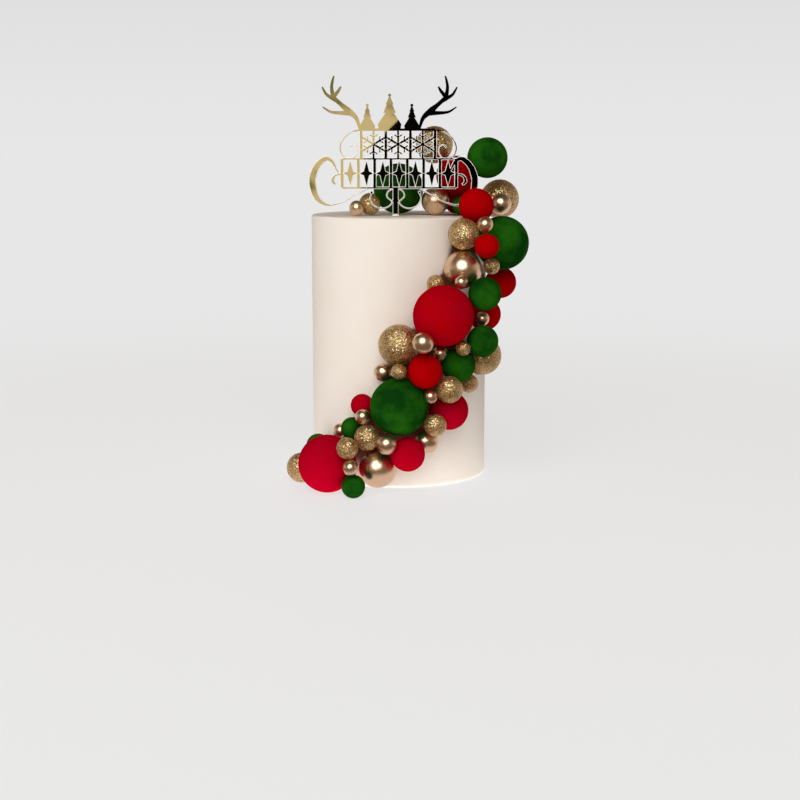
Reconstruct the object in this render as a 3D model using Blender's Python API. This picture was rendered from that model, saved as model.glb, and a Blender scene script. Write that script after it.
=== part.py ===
"""Christmas cake: a tall iced drum with a cascade of baubles and a cut-out topper.

Run with: blender --background --python part.py
Metres, +Z up. The cake stands on z = 0 with its axis on Z, and its front looks along -Y.
"""

import math
from typing import NamedTuple

import bmesh
import bpy
from mathutils import Matrix, Vector
from mathutils.geometry import delaunay_2d_cdt

MM = 0.001
GAP = 0.3 * MM
SEAM = 0.01 * MM

# The cake
CAKE_RADIUS = 80 * MM
CAKE_HEIGHT = 238 * MM
CAKE_TOP_EDGE = 2.0 * MM
CAKE_FOOT_EDGE = 3.0 * MM
CAKE_SEGMENTS = 48
EDGE_STEPS = 2
LEVEL = 0.99

# The topper's place and thickness, and the dab of icing that it stands in
TOPPER_X = -3 * MM
TOPPER_Y = -44.5 * MM
TOPPER_THICKNESS = 3 * MM
PLUG_HEIGHT = 2.4 * MM
PLUG_RADIUS = 3.6 * MM
PLUG_WALL, PLUG_SHOULDER = 0.45, 0.7
PLUG_SEGMENTS = 12

# The topper's outline in millimetres: X from the stake's axis, heights above the cake's top
STAKE_WIDTH = 5.2
STAKE_FOOT = (PLUG_HEIGHT + 2 * GAP) / MM
RAIL_WIDTH = 2.0
BASE_RAIL = 25.0
MIDDLE_RAIL = 50.2
TOP_RAIL = 75.4
BAR_WIDTH = 3.2
LOWER_MIDDLE, LOWER_HALF, LOWER_CELLS = 3.1, 50.2, 7
UPPER_MIDDLE, UPPER_HALF, UPPER_CELLS = 2.2, 32.3, 3
STAR_WAIST = 3.2
ARM_WIDTH = 2.6
FORK_DISTANCE, FORK_LEAN = 6.2, math.radians(58)
TWIG_WIDTH, TWIG_LENGTH = 2.0, 4.4
CREST_MIDDLE = -5.2
FIRS = ((0, 10.3, 30.8), (-19.5, 6.7, 22.2), (19.4, 6.7, 22.2))
FIR_TIERS = ((1.0, 0.15, 0.64), (0.53, 0.47, 0.88), (0.33, 0.7, 0.96))
FIR_HEM = 0.92
FIR_STEM = 1.2
FIR_BALL = 1.3
SCROLL_MIDDLE = -1.7
SWAG_BALL = 1.4
DOT_SIDES = 8
WELD = 1e-4
FLAT = 0.01


class Bauble(NamedTuple):
    """One ball: its finish, its diameter in mm, and its seat.

    At "side" the two numbers are the angle from the front towards +X in degrees and the height in mm.
    At "floor" they are the same angle and the distance from the cake's axis in mm.
    On "top" they are X and Y in mm.
    """

    finish: str
    diameter: float
    seat: str
    first: float
    second: float


# In the order in which they are set on the cake, so each one rests on those before it
BAUBLES = (
    # The layer against the icing
    Bauble("glitter", 15.5, "side", 21, 182),
    Bauble("green", 21.5, "side", -53, 33.5),
    Bauble("glitter", 27.5, "floor", -57, 104.5),
    Bauble("gold", 13.5, "side", -36.5, 50),
    Bauble("red", 20, "side", -21, 75.5),
    Bauble("green", 20, "side", -26.5, 54.5),
    Bauble("gold", 16.5, "side", -9, 105),
    Bauble("gold", 22.5, "side", 15, 44),
    Bauble("gold", 33.5, "side", -11, 21),
    Bauble("glitter", 17, "side", 44.5, 91.5),
    Bauble("red", 28.5, "side", 76.5, 177.5),
    Bauble("glitter", 36, "side", 94, 251.5),
    Bauble("gold", 33, "side", 35, 194),
    Bauble("red", 29, "side", 53, 152.5),
    Bauble("glitter", 34.5, "side", 49, 116.5),
    Bauble("green", 30, "side", 30.5, 111.5),
    Bauble("red", 34.5, "side", 26.5, 71.5),
    Bauble("glitter", 36.5, "side", 0, 130.5),
    Bauble("green", 47.5, "side", 61, 215),
    Bauble("red", 52.5, "side", 20, 156.5),
    Bauble("green", 50, "side", 0, 78),
    Bauble("red", 51, "floor", -33.5, 113.5),
    Bauble("glitter", 27.5, "side", 34.5, 224.5),
    # The layer that rests on other balls
    Bauble("red", 29.5, "side", 11, 110),
    Bauble("glitter", 23.5, "side", -15.5, 49.5),
    Bauble("gold", 13.5, "side", -17.5, 68),
    Bauble("red", 30, "side", 4, 36.5),
    Bauble("gold", 17.5, "side", -5, 47.5),
    Bauble("glitter", 20, "side", 15.5, 63),
    Bauble("glitter", 24, "side", 21.5, 93.5),
    Bauble("gold", 12, "side", 13, 88.5),
    Bauble("glitter", 14.5, "side", 0, 110),
    Bauble("gold", 18.5, "side", 9, 136),
    Bauble("glitter", 19.5, "side", -20.5, 44),
    Bauble("green", 20.5, "floor", -18.5, 124),
    Bauble("gold", 14, "side", -18.5, 28),
    Bauble("gold", 13.5, "side", 20, 123),
    Bauble("glitter", 13.5, "side", 28.5, 128),
    Bauble("gold", 12.5, "side", 43, 151),
    Bauble("green", 27.5, "side", 38.5, 133),
    Bauble("green", 28.5, "side", 37.5, 174.5),
    Bauble("gold", 11.5, "side", 27, 185),
    Bauble("glitter", 15, "side", 47.5, 196.5),
    Bauble("red", 21, "side", 39, 215),
    Bauble("red", 30.5, "side", 47, 248),
    Bauble("gold", 14, "side", 40, 233),
    Bauble("gold", 19, "side", 77, 248),
    # On the top of the cake
    Bauble("green", 45.5, "top", -0.5, 1),
    Bauble("gold", 25, "top", 32.5, -24),
    Bauble("glitter", 20, "top", -26, -26),
    Bauble("gold", 13.5, "top", -37.5, -39),
    Bauble("red", 21, "top", 52, 5),
    Bauble("green", 17, "top", 56, -26),
    Bauble("red", 36, "top", 51.5, -11),
    Bauble("glitter", 34, "top", 32, -1),
    Bauble("green", 36, "top", 78.5, -29),
)

# (smallest diameter in mm, segments round, rings) of the balls' meshes
BALL_MESHES = ((42, 18, 11), (26, 14, 9), (18, 12, 7), (0, 8, 6))


class Finish(NamedTuple):
    """A surface: base colour as linear RGB, roughness and metallic value."""

    colour: tuple
    roughness: float
    metallic: float


FINISHES = {
    "icing": Finish((0.79, 0.68, 0.57), 0.55, 0.0),
    "plug": Finish((0.82, 0.80, 0.76), 0.5, 0.0),
    "red": Finish((0.36, 0.003, 0.008), 0.6, 0.0),
    "green": Finish((0.008, 0.075, 0.006), 0.6, 0.0),
    "gold": Finish((0.62, 0.42, 0.26), 0.18, 1.0),
    "glitter": Finish((0.46, 0.30, 0.13), 0.45, 0.7),
    "mirror": Finish((0.80, 0.60, 0.25), 0.05, 1.0),
}


def clear_scene():
    for obj in list(bpy.data.objects):
        bpy.data.objects.remove(obj, do_unlink=True)


def material_for(name):
    found = bpy.data.materials.get(name)
    if found:
        return found
    finish = FINISHES[name]
    material = bpy.data.materials.new(name)
    material.use_nodes = True
    shader = material.node_tree.nodes["Principled BSDF"]
    shader.inputs["Base Color"].default_value = (*finish.colour, 1)
    shader.inputs["Roughness"].default_value = finish.roughness
    shader.inputs["Metallic"].default_value = finish.metallic
    material.diffuse_color = (*finish.colour, 1)
    return material


def add_object(name, bm, finish, location=(0, 0, 0), smooth=True):
    """Turns the bmesh into an object with one material."""
    bmesh.ops.recalc_face_normals(bm, faces=bm.faces[:])
    mesh = bpy.data.meshes.new(name)
    bm.to_mesh(mesh)
    bm.free()
    mesh.polygons.foreach_set("use_smooth", [smooth] * len(mesh.polygons))
    mesh.materials.append(material_for(finish))
    obj = bpy.data.objects.new(name, mesh)
    obj.location = location
    bpy.context.scene.collection.objects.link(obj)
    return obj


def quarter_round(centre, radius, start):
    """Points of a quarter circle in the (distance, height) plane, from the start angle in degrees."""
    angles = [math.radians(start + 90 * step / EDGE_STEPS) for step in range(EDGE_STEPS + 1)]
    return [(centre[0] + radius * math.cos(a), centre[1] + radius * math.sin(a)) for a in angles]


def lathe(profile, segments):
    """A closed solid of revolution about Z. The profile's ends lie on the axis."""
    bm = bmesh.new()
    points = [bm.verts.new((distance, 0, height)) for distance, height in profile]
    edges = [bm.edges.new(pair) for pair in zip(points, points[1:])]
    bmesh.ops.spin(
        bm,
        geom=points + edges,
        axis=(0, 0, 1),
        cent=(0, 0, 0),
        angle=math.tau,
        steps=segments,
    )
    bmesh.ops.remove_doubles(bm, verts=bm.verts[:], dist=SEAM)
    return bm


def make_cake():
    foot = quarter_round((CAKE_RADIUS - CAKE_FOOT_EDGE, CAKE_FOOT_EDGE), CAKE_FOOT_EDGE, -90)
    rim_centre = (CAKE_RADIUS - CAKE_TOP_EDGE, CAKE_HEIGHT - CAKE_TOP_EDGE)
    rim = quarter_round(rim_centre, CAKE_TOP_EDGE, 0)
    profile = [(0, 0), *foot, *rim, (0, CAKE_HEIGHT)]
    cake = add_object("cake", lathe(profile, CAKE_SEGMENTS), "icing")
    curved = [abs(face.normal.z) < LEVEL for face in cake.data.polygons]
    cake.data.polygons.foreach_set("use_smooth", curved)


def make_plug():
    """The dab of icing at the foot of the stake."""
    base = CAKE_HEIGHT + GAP
    profile = [
        (0, base),
        (PLUG_RADIUS, base),
        (PLUG_RADIUS, base + PLUG_WALL * PLUG_HEIGHT),
        (PLUG_SHOULDER * PLUG_RADIUS, base + PLUG_HEIGHT),
        (0, base + PLUG_HEIGHT),
    ]
    add_object("stake_plug", lathe(profile, PLUG_SEGMENTS), "plug", (TOPPER_X, TOPPER_Y, 0))


def reach_of_cake(radius, height):
    """How far out from the axis a ball's centre lies when it touches the cake's side or rim."""
    touch = radius + GAP
    above = height - CAKE_HEIGHT
    if above >= touch:
        return 0.0
    if above <= 0:
        return CAKE_RADIUS + touch
    return CAKE_RADIUS + math.sqrt(touch**2 - above**2)


def slide_in(radius, angle, height, set_balls):
    """Moves a ball inwards at one angle and height until it meets the cake or a ball."""
    outwards = Vector((math.sin(angle), -math.cos(angle), 0))
    reach = reach_of_cake(radius, height)
    for centre, other in set_balls:
        touch = radius + other + GAP
        offset = centre - Vector((0, 0, height))
        along = offset.dot(outwards)
        aside = offset.length_squared - along**2
        if aside < touch**2:
            reach = max(reach, along + math.sqrt(touch**2 - aside))
    return outwards * reach + Vector((0, 0, height))


def drop_down(radius, x, y, set_balls):
    """Lowers a ball at one place until it meets the cake's top, its rim or a ball."""
    touch = radius + GAP
    overhang = max(0.0, math.hypot(x, y) - CAKE_RADIUS)
    height = CAKE_HEIGHT + math.sqrt(touch**2 - min(overhang, touch) ** 2)
    for centre, other in set_balls:
        touch = radius + other + GAP
        aside = (centre.x - x) ** 2 + (centre.y - y) ** 2
        if aside < touch**2:
            height = max(height, centre.z + math.sqrt(touch**2 - aside))
    return Vector((x, y, height))


def seat_of(bauble, set_balls):
    """The ball's centre."""
    radius = bauble.diameter / 2 * MM
    if bauble.seat == "side":
        return slide_in(radius, math.radians(bauble.first), bauble.second * MM, set_balls)
    if bauble.seat == "top":
        return drop_down(radius, bauble.first * MM, bauble.second * MM, set_balls)
    angle = math.radians(bauble.first)
    distance = bauble.second * MM
    return Vector((distance * math.sin(angle), -distance * math.cos(angle), radius))


def ball_mesh(diameter):
    segments, rings = next(row[1:] for row in BALL_MESHES if diameter >= row[0])
    bm = bmesh.new()
    bmesh.ops.create_uvsphere(bm, u_segments=segments, v_segments=rings, radius=diameter / 2 * MM)
    return bm


def make_baubles():
    set_balls = []
    counts = dict.fromkeys(FINISHES, 0)
    for bauble in BAUBLES:
        centre = seat_of(bauble, set_balls)
        counts[bauble.finish] += 1
        name = f"bauble_{bauble.finish}_{counts[bauble.finish]:02d}"
        add_object(name, ball_mesh(bauble.diameter), bauble.finish, centre)
        set_balls.append((centre, bauble.diameter / 2 * MM))


class Cutout:
    """A flat sheet cut to an outline, given as overlapping convex pieces in millimetres.

    X runs from the stake's axis and the second number is the height above the cake's top.
    """

    def __init__(self):
        self.pieces = []

    def add(self, points):
        piece = [Vector(point) for point in points]
        self.pieces.append(piece if signed_area(piece) > 0 else piece[::-1])

    def bar(self, start, end, width):
        start, end = Vector(start), Vector(end)
        side = (end - start).orthogonal().normalized() * (width / 2)
        self.add([start - side, end - side, end + side, start + side])

    def dot(self, centre, radius):
        turns = [math.tau * step / DOT_SIDES for step in range(DOT_SIDES)]
        self.add([(centre[0] + radius * math.cos(t), centre[1] + radius * math.sin(t)) for t in turns])

    def stroke_pair(self, middle, stations, steps):
        """A smooth tapering line and its mirror image about X = middle.

        A station is (distance from the middle, height, width), and steps is the pieces between two.
        """
        line = smooth_line([Vector(station) for station in stations], steps)
        edges = []
        for index, station in enumerate(line):
            before = line[max(index - 1, 0)].xy
            after = line[min(index + 1, len(line) - 1)].xy
            side = (after - before).orthogonal().normalized() * (station.z / 2)
            edges.append((station.xy + side, station.xy - side))
        for (left, right), (next_left, next_right) in zip(edges, edges[1:]):
            piece = [left, right, next_right, next_left]
            self.add([(middle + point.x, point.y) for point in piece])
            self.add([(middle - point.x, point.y) for point in piece])

    def sheet(self, thickness):
        """The solid: the union of all pieces, half its thickness on each side of Y = 0."""
        points = [point for piece in self.pieces for point in piece]
        faces, first = [], 0
        for piece in self.pieces:
            faces.append(range(first, first + len(piece)))
            first += len(piece)
        flat, _, triangles, _, _, sources = delaunay_2d_cdt(points, [], faces, 1, WELD)
        bm = bmesh.new()
        corners = [bm.verts.new((point.x * MM, -thickness / 2, point.y * MM)) for point in flat]
        for triangle, source in zip(triangles, sources):
            if source:
                bm.faces.new([corners[index] for index in triangle])
        bmesh.ops.delete(bm, geom=[v for v in bm.verts if not v.link_faces], context="VERTS")
        bmesh.ops.dissolve_limit(bm, angle_limit=FLAT, verts=bm.verts[:], edges=bm.edges[:])
        walls = bmesh.ops.extrude_face_region(bm, geom=bm.faces[:], use_keep_orig=True)
        back = [item for item in walls["geom"] if isinstance(item, bmesh.types.BMVert)]
        bmesh.ops.translate(bm, verts=back, vec=(0, thickness, 0))
        return bm


def signed_area(points):
    pairs = zip(points, points[1:] + points[:1])
    return sum(a.x * b.y - b.x * a.y for a, b in pairs) / 2


def smooth_line(points, steps):
    """Points along a Catmull-Rom curve through the given ones."""
    line = []
    for index in range(len(points) - 1):
        a = points[max(index - 1, 0)]
        b, c = points[index], points[index + 1]
        d = points[min(index + 2, len(points) - 1)]
        for step in range(steps):
            t = step / steps
            near = 2 * b + (c - a) * t + (2 * a - 5 * b + 4 * c - d) * t**2
            line.append((near + (3 * b - a - 3 * c + d) * t**3) / 2)
    line.append(points[-1])
    return line


def add_frame(cut):
    """The stake, the three rails and the bars between the cells of both rows."""
    cut.bar((0, STAKE_FOOT), (0, BASE_RAIL), STAKE_WIDTH)
    lower_ends = (LOWER_MIDDLE - LOWER_HALF, LOWER_MIDDLE + LOWER_HALF)
    upper_ends = (UPPER_MIDDLE - UPPER_HALF, UPPER_MIDDLE + UPPER_HALF)
    for height, ends in ((BASE_RAIL, lower_ends), (MIDDLE_RAIL, lower_ends), (TOP_RAIL, upper_ends)):
        cut.bar((ends[0], height), (ends[1], height), RAIL_WIDTH)
    rows = (
        (lower_ends, LOWER_CELLS, BASE_RAIL, MIDDLE_RAIL),
        (upper_ends, UPPER_CELLS, MIDDLE_RAIL, TOP_RAIL),
    )
    for ends, cells, bottom, top in rows:
        for index in range(cells + 1):
            x = ends[0] + (ends[1] - ends[0]) * index / cells
            cut.bar((x, bottom), (x, top), BAR_WIDTH)


def cell_centres(middle, half, cells, bottom, top):
    pitch = 2 * half / cells
    return [Vector((middle - half + (i + 0.5) * pitch, (bottom + top) / 2)) for i in range(cells)]


def add_stars(cut):
    """A four-pointed star in each cell of the lower row."""
    across = LOWER_HALF / LOWER_CELLS
    up = (MIDDLE_RAIL - BASE_RAIL) / 2
    for centre in cell_centres(LOWER_MIDDLE, LOWER_HALF, LOWER_CELLS, BASE_RAIL, MIDDLE_RAIL):
        for reach in ((0, up), (across, 0), (0, -up), (-across, 0)):
            tip = Vector(reach)
            side = tip.orthogonal().normalized() * STAR_WAIST
            cut.add([centre - side, centre + tip, centre + side])


def add_snowflakes(cut):
    """A six-armed snowflake in each cell of the upper row."""
    across = UPPER_HALF / UPPER_CELLS
    up = (TOP_RAIL - MIDDLE_RAIL) / 2
    for centre in cell_centres(UPPER_MIDDLE, UPPER_HALF, UPPER_CELLS, MIDDLE_RAIL, TOP_RAIL):
        for degrees in range(30, 390, 60):
            arm = Vector((math.cos(math.radians(degrees)), math.sin(math.radians(degrees))))
            length = up if abs(arm.x) < 0.5 else across / abs(arm.x)
            cut.bar(centre, centre + arm * length, ARM_WIDTH)
            fork = centre + arm * FORK_DISTANCE
            for lean in (-FORK_LEAN, FORK_LEAN):
                twig = arm @ Matrix.Rotation(lean, 2)
                cut.bar(fork, fork + twig * TWIG_LENGTH, TWIG_WIDTH)


def add_firs(cut):
    """Three fir trees on the top rail, each with a ball at its tip."""
    for offset, half_width, height in FIRS:
        x = CREST_MIDDLE + offset
        tip = TOP_RAIL + height
        for width_share, foot_share, tip_share in FIR_TIERS:
            low, high = TOP_RAIL + foot_share * height, TOP_RAIL + tip_share * height
            reach = width_share * half_width
            cut.add([(x - reach, low), (x + reach, low), (x, high)])
        hem, skirt = FIR_HEM * half_width, TOP_RAIL + FIR_TIERS[0][1] * height
        cut.add([(x - hem, TOP_RAIL), (x + hem, TOP_RAIL), (x + half_width, skirt), (x - half_width, skirt)])
        cut.bar((x, TOP_RAIL), (x, tip), FIR_STEM)
        cut.dot((x, tip - FIR_BALL), FIR_BALL)


def add_antlers(cut):
    """A pair of antlers, each with a beam, three tips and a brow tine."""
    beam = ((25.8, 75, 1.8), (29.1, 85.1, 3.6), (35.7, 91.3, 5.4), (42.2, 96.9, 3.7), (49.4, 103.2, 3.8))
    front_tip = ((49, 102, 4.0), (50.4, 111, 2.8), (49.7, 116.8, 2.2), (48.4, 121.4, 1.2))
    inner_tip = ((49, 103.4, 3.6), (45, 108.1, 2.7), (43.4, 110.6, 2.0), (42.4, 112.4, 1.2))
    outer_tip = ((47, 100.6, 3.6), (54.3, 105, 2.6), (57.1, 108.8, 1.9), (58.7, 112, 1.2))
    tine = ((33, 89.5, 4.6), (43.8, 89.8, 3.1), (48.4, 90.1, 2.5), (52.5, 91.1, 2.1), (58.4, 94.9, 1.0))
    cut.stroke_pair(CREST_MIDDLE, beam, 3)
    for stroke in (tine, front_tip, inner_tip, outer_tip):
        cut.stroke_pair(CREST_MIDDLE, stroke, 1)


def add_scrolls(cut):
    """The curled lines at both ends of the rows and below them."""
    great_scroll = (
        (48.5, 37, 1.6),
        (51.2, 43, 2.2),
        (54.6, 48.4, 3.2),
        (60, 50.2, 4.4),
        (67.2, 44.1, 5.5),
        (71.4, 32.5, 6.2),
        (69.4, 19.7, 5.4),
        (63.9, 12.5, 3.8),
        (55.5, 9.8, 1.8),
        (43.2, 13.2, 1.3),
        (34.8, 18, 1.2),
        (21.4, 25, 1.2),
    )
    hook = ((50, 37, 1.8), (56.2, 35.6, 2.2), (58.4, 30.8, 3.0), (55.6, 27.6, 2.0))
    loop = (
        (33.6, 75, 1.2),
        (40.3, 73.5, 1.2),
        (47.1, 68.5, 1.5),
        (50.9, 60.8, 1.8),
        (49.3, 53.6, 1.5),
        (44.6, 50.3, 1.2),
        (38.6, 51.2, 1.1),
        (35.6, 56, 1.1),
        (36.6, 61.2, 1.1),
        (40, 62.2, 1.2),
        (42.2, 60, 1.8),
    )
    swag = ((2, 15, 1.3), (5, 9.6, 1.2), (11.7, 7, 1.2), (19, 9.4, 1.2), (22.3, 15, 1.2), (21.2, 20.5, 1.4))
    lobe = ((2, 24.6, 1.2), (6.6, 21.6, 1.2), (7.4, 17, 1.2), (2, 12.4, 1.2))
    cut.stroke_pair(SCROLL_MIDDLE, great_scroll, 2)
    cut.stroke_pair(LOWER_MIDDLE, hook, 3)
    cut.stroke_pair(UPPER_MIDDLE, loop, 2)
    cut.stroke_pair(0, swag, 2)
    cut.stroke_pair(0, lobe, 2)
    for x in (-21.2, 21.2):
        cut.dot((x, 21), SWAG_BALL)


def make_topper():
    cut = Cutout()
    add_frame(cut)
    add_stars(cut)
    add_snowflakes(cut)
    add_firs(cut)
    add_antlers(cut)
    add_scrolls(cut)
    place = (TOPPER_X, TOPPER_Y, CAKE_HEIGHT)
    add_object("topper", cut.sheet(TOPPER_THICKNESS), "mirror", place, smooth=False)


def main():
    clear_scene()
    make_cake()
    make_plug()
    make_baubles()
    make_topper()


main()
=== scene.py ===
"""Dresses the christmas cake: smooth icing, a cascade of baubles, glitter, and a gold mirror topper.

Metres, +Z up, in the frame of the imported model. The front of the cake looks along -Y.
"""

import logging
import math
from abc import ABC, abstractmethod
from collections.abc import Iterable, Mapping, Sequence
from dataclasses import dataclass, field
from enum import Enum
from functools import cache
from typing import Any

import bmesh
import bpy
from mathutils import Matrix, Vector, noise
from mathutils.bvhtree import BVHTree
from mathutils.geometry import delaunay_2d_cdt


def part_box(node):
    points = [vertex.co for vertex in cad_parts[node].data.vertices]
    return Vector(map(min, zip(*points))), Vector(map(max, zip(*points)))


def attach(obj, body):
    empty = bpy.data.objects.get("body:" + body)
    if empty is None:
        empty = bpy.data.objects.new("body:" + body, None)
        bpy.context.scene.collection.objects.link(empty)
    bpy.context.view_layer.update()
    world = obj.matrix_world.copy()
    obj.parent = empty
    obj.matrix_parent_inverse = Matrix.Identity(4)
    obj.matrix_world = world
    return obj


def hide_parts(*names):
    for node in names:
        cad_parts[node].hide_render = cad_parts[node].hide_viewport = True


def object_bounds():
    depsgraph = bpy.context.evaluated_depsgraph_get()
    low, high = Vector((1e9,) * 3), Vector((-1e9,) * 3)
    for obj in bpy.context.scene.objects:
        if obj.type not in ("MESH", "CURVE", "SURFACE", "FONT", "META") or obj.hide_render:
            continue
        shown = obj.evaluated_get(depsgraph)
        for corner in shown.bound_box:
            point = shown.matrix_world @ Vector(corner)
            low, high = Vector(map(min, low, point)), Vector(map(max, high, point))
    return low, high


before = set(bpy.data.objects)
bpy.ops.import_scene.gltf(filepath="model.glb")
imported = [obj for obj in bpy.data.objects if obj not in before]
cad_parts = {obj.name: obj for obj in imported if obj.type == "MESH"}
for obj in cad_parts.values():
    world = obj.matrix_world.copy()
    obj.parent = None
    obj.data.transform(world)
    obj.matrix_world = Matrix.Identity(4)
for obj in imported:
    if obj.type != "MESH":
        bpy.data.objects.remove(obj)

Colour = tuple[float, float, float]
Station = tuple[float, float, float]
Socket = bpy.types.NodeSocket

MM = 0.001
CAD_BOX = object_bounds()
BODY = "root"
SOCKET_KINDS = {float: "Float", int: "Int", tuple: "Color"}
log = logging.getLogger("christmas_cake")


def rgba(colour: Colour) -> tuple[float, float, float, float]:
    """Adds full opacity to a linear colour."""
    return (*colour, 1.0)


class Bench:
    """Adds nodes to one node tree and joins them."""

    def __init__(self, tree: bpy.types.NodeTree) -> None:
        """Starts on an emptied tree."""
        tree.nodes.clear()
        self.tree = tree

    def add(self, kind: str, sockets: Mapping[str | int, Any], **settings: Any) -> bpy.types.Node:
        """Adds one node.

        Args:
            kind: The node's type, such as "ShaderNodeMath".
            sockets: What each input takes, by name or number: a value, or the output that feeds it.
            settings: The node's own settings, such as operation="MULTIPLY".

        Returns:
            The new node.
        """
        node = self.tree.nodes.new(kind)
        for name, value in settings.items():
            setattr(node, name, value)
        for key, value in sockets.items():
            if isinstance(value, Socket):
                self.tree.links.new(value, node.inputs[key])
            else:
                node.inputs[key].default_value = value
        return node

    def first(self, kind: str, sockets: Mapping[str | int, Any], **settings: Any) -> Socket:
        """Adds one node, as add does, and hands over its first output."""
        return self.add(kind, sockets, **settings).outputs[0]

    def maths(self, operation: str, *terms: Any) -> Socket:
        """Adds a Math node on the terms, which are values or the outputs that feed them."""
        return self.first("ShaderNodeMath", dict(enumerate(terms)), operation=operation)

    def blend(self, factor: Any, first: Any, second: Any) -> Socket:
        """Adds a node that mixes two colours. The factor is the share of the second one."""
        return self.add("ShaderNodeMix", {0: factor, 6: first, 7: second}, data_type="RGBA").outputs[2]

    def soft_step(self, value: Socket, span: tuple[float, float], results: tuple[float, float]) -> Socket:
        """Adds a node that eases from one result to another as a value crosses a span.

        Args:
            value: The value.
            span: Where the easing starts and ends.
            results: What comes out below and above the span.

        Returns:
            The result.
        """
        ends = dict(enumerate((value, *span, *results)))
        return self.first("ShaderNodeMapRange", ends, interpolation_type="SMOOTHSTEP")

    def axes(self, vector: Socket) -> Sequence[Socket]:
        """Takes a vector apart into its X, Y and Z."""
        return self.add("ShaderNodeSeparateXYZ", {0: vector}).outputs

    def vector(self, *parts: Any) -> Socket:
        """Puts a vector together from its X, Y and Z."""
        return self.first("ShaderNodeCombineXYZ", dict(enumerate(parts)))

    def place(self) -> Socket:
        """The shaded point, in the piece's own coordinates."""
        return self.add("ShaderNodeTexCoord", {}).outputs["Object"]

    def distance(self, middle: Sequence[float]) -> Socket:
        """How far the shaded point lies from a middle."""
        sockets = {0: self.place(), 1: middle}
        return self.add("ShaderNodeVectorMath", sockets, operation="DISTANCE").outputs["Value"]

    def cloud(self, place: Socket, scale: Any, detail: float, roughness: float = 0.5) -> Socket:
        """Adds a soft noise.

        Args:
            place: Where it is read.
            scale: Its scale, as a value or a socket.
            detail: The number of finer noises in it.
            roughness: How much the finer noises count.

        Returns:
            The noise's value.
        """
        sockets = {"Vector": place, "Scale": scale, "Detail": detail, "Roughness": roughness}
        return self.first("ShaderNodeTexNoise", sockets)

    def closed(self, result: Socket) -> bpy.types.NodeTree:
        """Ends a group with its output, and hands over the group."""
        self.add("NodeGroupOutput", {0: result})
        return self.tree

    def closed_geometry(self, geometry: Socket, finish: Socket) -> bpy.types.NodeTree:
        """Ends a geometry tree with real faces that wear a finish.

        Args:
            geometry: What the tree has made.
            finish: The material.

        Returns:
            The tree.
        """
        real = self.first("GeometryNodeRealizeInstances", {0: geometry})
        return self.closed(self.first("GeometryNodeSetMaterial", {0: real, "Material": finish}))


def new_group(
    name: str, kind: str, inputs: Mapping[str, Any], output: tuple[str, str]
) -> tuple[Bench, Mapping[str, Socket]]:
    """Starts a node group with named sockets.

    Args:
        name: The group's name.
        kind: "ShaderNodeTree" or "GeometryNodeTree".
        inputs: The starting value of each input, or its kind, such as "Geometry", if it has no value.
        output: The name and kind of its output.

    Returns:
        The group's bench, and the sockets that bring the inputs.
    """
    tree = bpy.data.node_groups.new(name, kind)
    for label, value in inputs.items():
        word = value if isinstance(value, str) else SOCKET_KINDS[type(value)]
        socket = tree.interface.new_socket(name=label, in_out="INPUT", socket_type=f"NodeSocket{word}")
        if word != value:
            socket.default_value = value
    tree.interface.new_socket(name=output[0], in_out="OUTPUT", socket_type=f"NodeSocket{output[1]}")
    bench = Bench(tree)
    return bench, bench.add("NodeGroupInput", {}).outputs


class SharedEffects:
    """The shader effects that several finishes use, each built once as a node group."""

    @staticmethod
    @cache
    def cloudy_tone() -> bpy.types.NodeTree:
        """Two colours that drift into each other in soft patches.

        Returns:
            The group: Light, Dark, Scale and Sharpness in, Color out.
        """
        inputs = {"Light": rgba((1, 1, 1)), "Dark": rgba((0, 0, 0)), "Scale": 50.0, "Sharpness": 2.0}
        bench, given = new_group("Cloudy tone", "ShaderNodeTree", inputs, ("Color", "Color"))
        cloud = bench.cloud(bench.place(), given["Scale"], detail=3.0, roughness=0.55)
        centred = bench.maths("SUBTRACT", cloud, 0.5)
        share = bench.maths("MULTIPLY_ADD", centred, given["Sharpness"], 0.5)
        kept = bench.first("ShaderNodeClamp", {0: share})
        return bench.closed(bench.blend(kept, given["Light"], given["Dark"]))

    @staticmethod
    @cache
    def fine_relief() -> bpy.types.NodeTree:
        """The height of a fine, slightly uneven surface, for a Bump node.

        Returns:
            The group: Scale and Drag in, Height out. Drag below 1 draws the grain out upwards.
        """
        inputs = {"Scale": 800.0, "Drag": 1.0}
        bench, given = new_group("Fine relief", "ShaderNodeTree", inputs, ("Height", "Float"))
        across, along, up = bench.axes(bench.place())
        drawn = bench.maths("MULTIPLY", up, given["Drag"])
        place = bench.vector(across, along, drawn)
        return bench.closed(bench.cloud(place, given["Scale"], detail=4.0, roughness=0.6))

    @staticmethod
    @cache
    def handling() -> bpy.types.NodeTree:
        """Roughness that drifts between two values, as where a surface was handled or wiped.

        Returns:
            The group: Low, High and Scale in, Roughness out.
        """
        inputs = {"Low": 0.2, "High": 0.3, "Scale": 60.0}
        bench, given = new_group("Handling", "ShaderNodeTree", inputs, ("Roughness", "Float"))
        smear = bench.cloud(bench.place(), given["Scale"], detail=5.0, roughness=0.6)
        ends = {0: smear, 1: 0.35, 2: 0.65, 3: given["Low"], 4: given["High"]}
        return bench.closed(bench.first("ShaderNodeMapRange", ends))


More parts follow.
